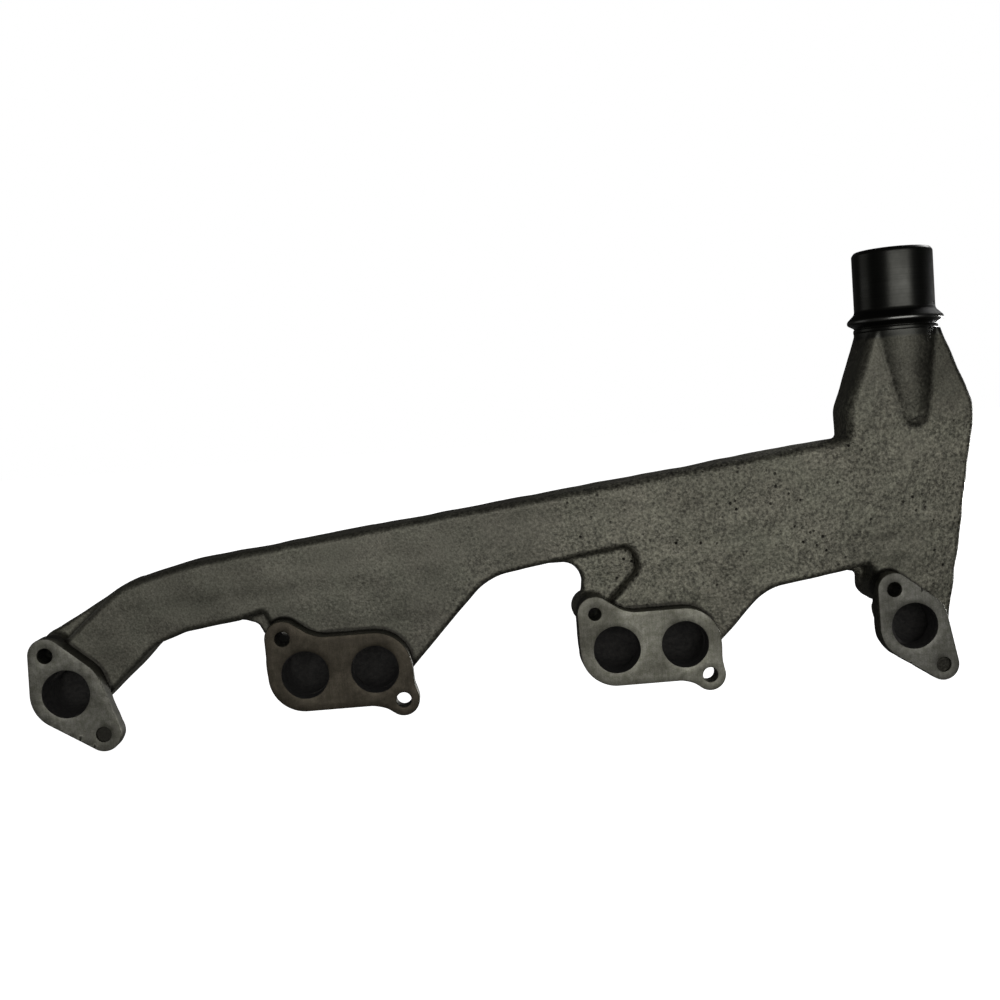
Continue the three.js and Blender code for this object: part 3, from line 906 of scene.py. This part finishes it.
def cast_iron(name, level=1.0):
    """As-cast skin: sand grain that coarsens towards the outlet, soft mottling, a few pits; painted
    shade in the corners round the flanges, on the flanges' sides and on the hood's right part;
    lighter towards +X below the hood.
    """
    made, tree, shader = material(name, (0.085, 0.08, 0.068), 0.55, 0.85)
    where = object_coordinates(tree)
    split = node(tree, "ShaderNodeSeparateXYZ")
    tree.links.new(where, split.inputs[0])
    coarsening = stepped(tree, split.outputs["X"], -0.15, 0.36, 0.30, 1.0)
    upper = stepped(tree, split.outputs["Z"], 0.155, 0.200)
    fading = maths(tree, "SUBTRACT", 1.0, maths(tree, "MULTIPLY", upper, 0.55))
    amount = maths(tree, "MULTIPLY", coarsening, fading)
    patches = ramp(tree, noise(tree, where, 17, 2.0, 0.5), [(0.36, grey(0.75)), (0.62, grey(1.45))])
    amount = maths(tree, "MULTIPLY", amount, patches)
    grain = noise(tree, where, 620, 4.0, 0.6)
    coarse = noise(tree, where, 360, 3.0, 0.6)
    cloud = noise(tree, where, 28, 3.0, 0.6)
    drift = noise(tree, where, 9, 2.0, 0.5)
    cells = node(tree, "ShaderNodeTexVoronoi")
    cells.inputs["Scale"].default_value = 150
    tree.links.new(where, cells.inputs["Vector"])
    pit = ramp(tree, cells.outputs["Distance"], [(0.07, grey(1.0)), (0.20, grey(0.0))])
    rare = ramp(tree, noise(tree, where, 47, 1.0), [(0.53, grey(0.0)), (0.61, grey(0.9))])
    pits = maths(tree, "MULTIPLY", maths(tree, "MULTIPLY", pit, rare), amount)
    dark = (0.060 * level, 0.058 * level, 0.047 * level)
    light = (0.118 * level, 0.116 * level, 0.098 * level)
    tone = ramp(tree, grain, [(0.32, dark), (0.68, light)])
    olive = mix(tree, cloud, (0.90, 0.94, 0.86), (1.10, 1.04, 1.02))
    colour = mix(tree, 1.0, tone, olive, "MULTIPLY")
    broad = ramp(tree, drift, [(0.35, grey(0.86)), (0.65, grey(1.12))])
    colour = mix(tree, 1.0, colour, broad, "MULTIPLY")
    speck = ramp(tree, coarse, [(0.34, grey(0.40)), (0.5, grey(1.0)), (0.66, grey(1.75))])
    colour = mix(tree, amount, colour, mix(tree, 1.0, colour, speck, "MULTIPLY"))
    colour = mix(tree, pits, colour, (0.012, 0.011, 0.009))
    # Painted shade, with some dirt, from the point attribute: near black in the corners round the
    # flanges and on the flanges' cast sides.
    dirt_and_shade = node(tree, "ShaderNodeAttribute", attribute_name="dirt_and_shade").outputs["Fac"]
    colour = mix(tree, maths(tree, "MULTIPLY", dirt_and_shade, 0.85), colour, (0.010, 0.009, 0.007))
    # Painted shade: the hood's right part is made 0.56 times as dark.
    hood_right_shade = maths(tree, "MULTIPLY", upper, stepped(tree, split.outputs["X"], 0.462, 0.486))
    colour = mix(tree, hood_right_shade, colour, mix(tree, 1.0, colour, (0.56, 0.56, 0.55), "MULTIPLY"))
    # Lighter (1.15 times) towards +X, below the hood.
    lighter_part = maths(tree, "MULTIPLY", maths(tree, "SUBTRACT", 1.0, upper),
                  stepped(tree, split.outputs["X"], 0.10, 0.25))
    colour = mix(tree, lighter_part, colour, mix(tree, 1.0, colour, (1.15, 1.15, 1.13), "MULTIPLY"))
    band = stepped(tree, split.outputs["Z"], 0.2295, 0.2320)  # skimmed, just under the ring
    colour = mix(tree, band, colour, (0.030, 0.030, 0.026))
    tree.links.new(colour, shader.inputs["Base Color"])
    rough = ramp(tree, coarse, [(0.3, grey(0.50)), (0.7, grey(0.62))])
    tree.links.new(mix(tree, band, rough, grey(0.38)), shader.inputs["Roughness"])
    amount = maths(tree, "MULTIPLY", amount, maths(tree, "SUBTRACT", 1.0, band))
    height = maths(tree, "ADD", maths(tree, "MULTIPLY", grain, 0.5), coarse)
    height = maths(tree, "SUBTRACT", height, maths(tree, "MULTIPLY", pits, 1.2))
    bumped(tree, shader, height, maths(tree, "MULTIPLY", amount, 0.65), 0.0007)
    return made


def machined_face(name, tint, darker_below_x=None):
    """Milled port face: fine lay, small specks, faint stains; an optional X range below which the
    face is darker, going to its own tint above it.
    """
    made, tree, shader = material(name, (0.115, 0.11, 0.095), 0.5, 0.8)
    where = object_coordinates(tree)
    grain = noise(tree, where, 900, 3.0, 0.6)
    stain = noise(tree, where, 36, 3.0, 0.6)
    stretched = node(tree, "ShaderNodeMapping")
    stretched.inputs["Scale"].default_value = (900, 900, 35)
    tree.links.new(where, stretched.inputs["Vector"])
    lay = noise(tree, stretched.outputs["Vector"], 1.0, 2.0, 0.5)
    dark = tuple(0.78 * c for c in tint)
    light = tuple(1.22 * c for c in tint)
    tone = ramp(tree, grain, [(0.3, dark), (0.7, light)])
    stains = ramp(tree, stain, [(0.34, (0.72, 0.70, 0.66)), (0.6, (1.08, 1.06, 1.03))])
    colour = mix(tree, 1.0, tone, stains, "MULTIPLY")
    streak = ramp(tree, lay, [(0.3, grey(0.90)), (0.7, grey(1.10))])
    colour = mix(tree, 1.0, colour, streak, "MULTIPLY")
    spots = noise(tree, where, 240, 3.0, 0.6)
    mottle = ramp(tree, spots, [(0.34, (0.80, 0.81, 0.76)), (0.66, (1.20, 1.19, 1.22))])
    colour = mix(tree, 1.0, colour, mottle, "MULTIPLY")
    if darker_below_x:
        split = node(tree, "ShaderNodeSeparateXYZ")
        tree.links.new(where, split.inputs[0])
        # Darker (0.70 times) at X below the given range, own tint above it.
        lighter_part = stepped(tree, split.outputs["X"], *darker_below_x)
        colour = mix(tree, lighter_part, mix(tree, 1.0, colour, (0.70, 0.69, 0.69), "MULTIPLY"), colour)
    tree.links.new(colour, shader.inputs["Base Color"])
    rough = ramp(tree, stain, [(0.3, grey(0.62)), (0.7, grey(0.50))])
    tree.links.new(rough, shader.inputs["Roughness"])
    lines, grit = maths(tree, "MULTIPLY", lay, 0.7), maths(tree, "MULTIPLY", grain, 0.5)
    bumped(tree, shader, maths(tree, "ADD", lines, grit), 0.35, 0.0002)
    return made


def turned_outlet():
    """Turned, dark outlet: satin, with fine rings round the axis; painted shade on the bead's upper
    flank and a painted highlight on its crest.
    """
    made, tree, shader = material("turned_outlet", (0.06, 0.06, 0.055), 0.3, 0.9, 0.3)
    where = object_coordinates(tree)
    rings = node(tree, "ShaderNodeMapping")
    rings.inputs["Scale"].default_value = (14, 14, 1500)
    tree.links.new(where, rings.inputs["Vector"])
    marks = noise(tree, rings.outputs["Vector"], 1.0, 2.0, 0.5)
    film = noise(tree, where, 40, 3.0, 0.55)
    tone = ramp(tree, film, [(0.3, (0.016, 0.016, 0.014)), (0.7, (0.028, 0.028, 0.025))])
    streak = ramp(tree, marks, [(0.3, grey(0.88)), (0.7, grey(1.12))])
    colour = mix(tree, 1.0, tone, streak, "MULTIPLY")
    split = node(tree, "ShaderNodeSeparateXYZ")
    tree.links.new(where, split.inputs[0])
    height = split.outputs["Z"]
    # Painted shade: the bead's upper flank is made near black, and rougher.
    shaded_flank = maths(tree, "SUBTRACT", stepped(tree, height, 0.2464, 0.2474),
                 stepped(tree, height, 0.2530, 0.2550))
    colour = mix(tree, shaded_flank, colour, (0.006, 0.006, 0.005))
    # Painted highlight: a lighter band round the bead's crest.
    painted_highlight = maths(tree, "SUBTRACT", stepped(tree, height, 0.2436, 0.2443),
                 stepped(tree, height, 0.2457, 0.2464))
    painted_highlight = maths(tree, "MULTIPLY", painted_highlight, ramp(tree, film, [(0.35, grey(0.4)), (0.6, grey(1.0))]))
    colour = mix(tree, painted_highlight, colour, (0.105, 0.105, 0.098))
    tree.links.new(colour, shader.inputs["Base Color"])
    rough = ramp(tree, film, [(0.3, grey(0.34)), (0.7, grey(0.26))])
    tree.links.new(mix(tree, shaded_flank, rough, grey(0.6)), shader.inputs["Roughness"])
    bumped(tree, shader, marks, 0.3, 0.0002)
    return made


def scaled_bore():
    """Burnt, scaly inside of the ports and the outlet."""
    made, tree, shader = material("scaled_bore", (0.02, 0.019, 0.017), 0.85, 0.1)
    where = object_coordinates(tree)
    scale = noise(tree, where, 300, 4.0, 0.6)
    tone = ramp(tree, scale, [(0.3, (0.006, 0.0055, 0.005)), (0.7, (0.028, 0.026, 0.023))])
    tree.links.new(tone, shader.inputs["Base Color"])
    bumped(tree, shader, scale, 0.6, 0.0008)
    return made


CAST = cast_iron("cast_iron_skin")
# The neck's skin: the same material, 0.72 times as dark.
CAST_NECK = cast_iron("cast_iron_neck", 0.72)
FACES = {
    "1": machined_face("machined_face_1", (0.122, 0.122, 0.106)),
    "2_3": machined_face("machined_face_2_3", (0.042, 0.036, 0.026)),
    "4_5": machined_face("machined_face_4_5", (0.152, 0.152, 0.128), (0.190, 0.226)),
    "6": machined_face("machined_face_6", (0.104, 0.104, 0.092)),
}
FACE = FACES["1"]
TURNED = turned_outlet()
BORE = scaled_bore()


def paint(obj, materials, chooser):
    """Gives each face the material that chooser picks from its centre and normal arrays."""
    mesh = obj.data
    mesh.materials.clear()
    for m in materials:
        mesh.materials.append(m)
    n = len(mesh.polygons)
    centre, normal = np.empty(n * 3, np.float32), np.empty(n * 3, np.float32)
    mesh.polygons.foreach_get("center", centre)
    mesh.polygons.foreach_get("normal", normal)
    chosen = chooser(centre.reshape(-1, 3), normal.reshape(-1, 3))
    mesh.polygons.foreach_set("material_index", np.asarray(chosen, np.int32))
    mesh.update()


def in_gas(c):
    """Faces of the gas passage: inside the walls, by their depth under the outside."""
    flat = outline_distance(BODY_SHAPE, c[:, 0], c[:, 2])
    deep = (flat < -WALL / 2) & (c[:, 1] > BODY_FRONT + WALL / 2) & (c[:, 1] < BODY_BACK - WALL / 2)
    port = np.zeros(len(c), bool)
    for px in PORT_X:
        port |= (np.hypot(c[:, 0] - px, c[:, 2]) < PORT_R + 1) & (c[:, 1] < 30)
    bore = np.hypot(c[:, 0] - OUTLET_X, c[:, 1] - MID_Y) < BORE_R + 1.5
    return deep | port | (bore & (c[:, 2] > 190))


def on_seat(c, n):
    """Machined bolt seats at the back of the long bosses."""
    seat = np.zeros(len(c), bool)
    for kind in FLANGES:
        tab = kind[4]
        seat |= np.hypot(c[:, 0] - kind[1] - tab[0], c[:, 2] - tab[1]) < BOSS_R - 1.2
    return seat & (n[:, 1] > 0.9) & (np.abs(c[:, 1] - BOSS_BACK) < 1.2)


def publish(obj, name, node_name):
    obj.name = name
    obj.data.name = name
    place(obj)
    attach(obj, "root")
    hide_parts(node_name)
    return obj


# ---- The casting and its regions ----

low = (-366.0, 1.0, -51.0)
high = (404.0, 78.0, NECK_TOP + 12)
points, quads = surface(casting, low, high, PITCH)
whole = quad_mesh("whole", points, quads)

# The plates' own space and everything in front of them is cut away.
for kind in FLANGES:
    plate = tidy(flange_mesh(kind, "plate_tool", tool=True))
    smaller = cut(whole, plate, "DIFFERENCE")
    drop(whole, plate)
    whole = smaller


def neck_tool(x, y, z):
    return neck_outside(x, y, z, 2.2)


tool_points, tool_quads = surface(neck_tool, (300, -5, 138), (400, 85, 284), 2 * PITCH)
neck_cutter = quad_mesh("neck_cutter", tool_points, tool_quads)


def boss_tool(kind, web):
    """Space of a long boss and its web outside the body's own walls."""
    tab = kind[4]
    centre = (kind[1] + tab[0], tab[1])

    def field(x, y, z):
        flat = np.minimum(
            np.hypot(x - centre[0], z - centre[1]) - BOSS_R - 5,
            outline_distance(web, x, z) - 5,
        )
        flat = np.maximum(flat, 0.8 - outline_distance(BODY_SHAPE, x, z))
        return np.maximum(flat, np.abs(y - MID_Y) - 27.0)

    flat_points = np.array([arc[0] for arc in web[0]] + [centre])
    x_low, z_low = flat_points.min(0) - 26
    x_high, z_high = flat_points.max(0) + 26
    p, q = surface(field, (x_low, 8, z_low), (x_high, 72, z_high), 1.5)
    return keep_largest(quad_mesh("boss_tool", p, q), 0.3)


made_pieces = []
for kind, web in zip(FLANGES, WEB_SHAPES):
    tool = boss_tool(kind, web)
    boss = keep_largest(cut(whole, tool, "INTERSECT"), 0.9)
    rest = cut(whole, tool, "DIFFERENCE")
    drop(whole, tool)
    whole = rest
    made_pieces.append((boss, "bolt_boss_" + kind[0]))

for name, polygon in REGIONS.items():
    tool = prism("region_tool", polygon, -20.0, 110.0)
    piece = cut(whole, tool, "INTERSECT")
    drop(tool)
    if name == "outlet_hood":
        neck = cut(piece, neck_cutter, "INTERSECT")
        hood = cut(piece, neck_cutter, "DIFFERENCE")
        drop(piece)
        made_pieces.append((keep_largest(neck), "outlet_neck"))
        piece = hood
    made_pieces.append((keep_largest(piece), name))
drop(whole, neck_cutter)


def casting_material(c, n):
    return np.where(on_seat(c, n), 2, np.where(in_gas(c), 1, 0))


for obj, name in made_pieces:
    smooth_normals(obj, casting)
    # painted shade, with some dirt, in the corners round the flanges
    write_dirt_and_shade(obj, corner_shade_and_dirt)
    skin = CAST_NECK if name == "outlet_neck" else CAST
    paint(obj, [skin, BORE, FACE], casting_material)
    publish(obj, "cast_" + name, name)

# ---- Flange plates ----


def plate_material(c, n):
    port = np.zeros(len(c), bool)
    for px in PORT_X:
        port |= np.hypot(c[:, 0] - px, c[:, 2]) < PORT_R + 0.4
    face = (n[:, 1] < -0.6) & (c[:, 1] < 0.7)
    return np.where(port & (c[:, 1] > 0.2), 2, np.where(face, 0, 1))


for kind in FLANGES:
    plate = tidy(flange_mesh(kind, "flange_" + kind[0]), triangles=False)
    paint(plate, [FACES[kind[0]], CAST, BORE], plate_material)
    plate.data.polygons.foreach_set("use_smooth", np.ones(len(plate.data.polygons), bool))
    plate.data.set_sharp_from_angle(angle=math.radians(35))
    # painted shade on the flange's cast sides
    write_dirt_and_shade(plate, shaded_flange_side)
    publish(plate, "machined_flange_" + kind[0], "port_flange_" + kind[0])

# ---- Turned outlet ----

SEGMENTS = 128
bead = lathe("bead", rounded_profile([
    (BORE_R, NECK_TOP, 0.0), (32.9, NECK_TOP, 0.3), (33.2, 237.0, 0.5), (33.1, 239.0, 0.5),
    (32.2, 239.9, 0.5), (33.0, 240.9, 0.8), (37.2, 243.3, 0.6), (37.8, 244.3, 0.5),
    (37.8, 245.9, 0.5), (37.2, 247.0, 0.6), (33.2, 251.0, 1.2), (32.2, 252.2, 0.6),
    (SPIGOT_R, BEAD_TOP, 0.0),
    (BORE_R, BEAD_TOP, 0.0),
]), SEGMENTS)
spigot = lathe("spigot", rounded_profile([
    (BORE_R, BEAD_TOP, 0.0), (SPIGOT_R, BEAD_TOP, 0.0), (SPIGOT_R, 270.0, 0.0),
    (SPIGOT_R, 285.0, 0.0), (SPIGOT_R, 299.4, 1.2), (29.6, SPIGOT_TOP, 0.8),
    (BORE_R + 0.8, SPIGOT_TOP, 0.5), (BORE_R, 301.2, 0.4), (BORE_R, 285.0, 0.0),
    (BORE_R, 270.0, 0.0),
]), SEGMENTS)


def turned_material(c, n):
    return np.where(np.hypot(c[:, 0] - OUTLET_X, c[:, 1] - MID_Y) < BORE_R + 0.3, 1, 0)


for obj, name in ((bead, "outlet_bead"), (spigot, "outlet_spigot")):
    tidy(obj, triangles=False)
    paint(obj, [TURNED, BORE], turned_material)
    obj.data.polygons.foreach_set("use_smooth", np.ones(len(obj.data.polygons), bool))
    obj.data.set_sharp_from_angle(angle=math.radians(40))
    publish(obj, "turned_" + name, name)

# ---- Floor, light and camera ----

FLOOR_Z = cad_low[2]


def pale_stage():
    made, tree, shader = material("pale_floor", (0.9, 0.9, 0.9), 0.9, 0.0, 0.1)
    path = node(tree, "ShaderNodeLightPath")
    where = object_coordinates(tree)
    far_off = node(tree, "ShaderNodeVectorMath", operation="LENGTH")
    tree.links.new(where, far_off.inputs[0])
    reach = stepped(tree, far_off.outputs["Value"], 0.7, 2.2, 0.95, 1.05)
    shader.inputs["Emission Color"].default_value = (1, 1, 1, 1)
    glow = maths(tree, "MULTIPLY", path.outputs["Is Camera Ray"], reach)
    tree.links.new(glow, shader.inputs["Emission Strength"])
    shade = mix(tree, path.outputs["Is Camera Ray"], (0.12, 0.12, 0.12), (0.9, 0.9, 0.9))
    tree.links.new(shade, shader.inputs["Base Color"])
    return made


bm = bmesh.new()
bmesh.ops.create_grid(bm, x_segments=2, y_segments=2, size=12.0)
mesh = bpy.data.meshes.new("floor")
bm.to_mesh(mesh)
bm.free()
floor = bpy.data.objects.new("floor", mesh)
floor.location = (0.1, 0, FLOOR_Z)
bpy.context.scene.collection.objects.link(floor)
mesh.materials.append(pale_stage())

world = bpy.data.worlds.new("studio")
bpy.context.scene.world = world
world.use_nodes = True
wt = world.node_tree
background = wt.nodes["Background"]
path = node(wt, "ShaderNodeLightPath")
strength = maths(wt, "ADD", maths(wt, "MULTIPLY", path.outputs["Is Camera Ray"], 0.96), 0.04)
wt.links.new(strength, background.inputs["Strength"])
background.inputs["Color"].default_value = (1, 1, 1, 1)

target = Vector((0.14, 0.03, 0.12))


def soft_light(name, position, size, power):
    light = bpy.data.lights.new(name, "AREA")
    light.shape = "RECTANGLE"
    light.size, light.size_y = size
    light.energy = power
    obj = bpy.data.objects.new(name, light)
    obj.location = position
    obj.rotation_mode = "QUATERNION"
    obj.rotation_quaternion = (target - Vector(position)).to_track_quat("-Z", "Y")
    obj.visible_camera = False
    bpy.context.scene.collection.objects.link(obj)


soft_light("key", (0.35, -2.3, 0.35), (2.6, 1.0), 44)
soft_light("back_right", (2.1, 1.5, 1.9), (1.4, 1.2), 24)
soft_light("left", (-2.2, 0.9, 0.6), (1.5, 1.2), 3)
# A low strip behind: it lights the back, and stays under the plane of the log's dark top.
soft_light("low_back_right", (1.9, 1.35, 0.02), (1.8, 0.10), 34)

# The camera is fitted to the photograph.
camera_data = bpy.data.cameras.new("camera")
camera_data.lens = 43.96
camera_data.sensor_width = 36.0
camera_data.clip_start = 0.05
camera = bpy.data.objects.new("camera", camera_data)
right, up, ahead = (
    Vector((0.9963, -0.0463, -0.0725)), Vector((0.0752, 0.0596, 0.9954)),
    Vector((0.0418, 0.9971, -0.0628)),
)
turn = Matrix((right, up, -ahead)).transposed()
camera.matrix_world = Matrix.Translation((0.09465, -0.950, 0.185)) @ turn.to_4x4()
bpy.context.scene.collection.objects.link(camera)
bpy.context.scene.camera = camera
bpy.context.scene.view_settings.view_transform = "Standard"
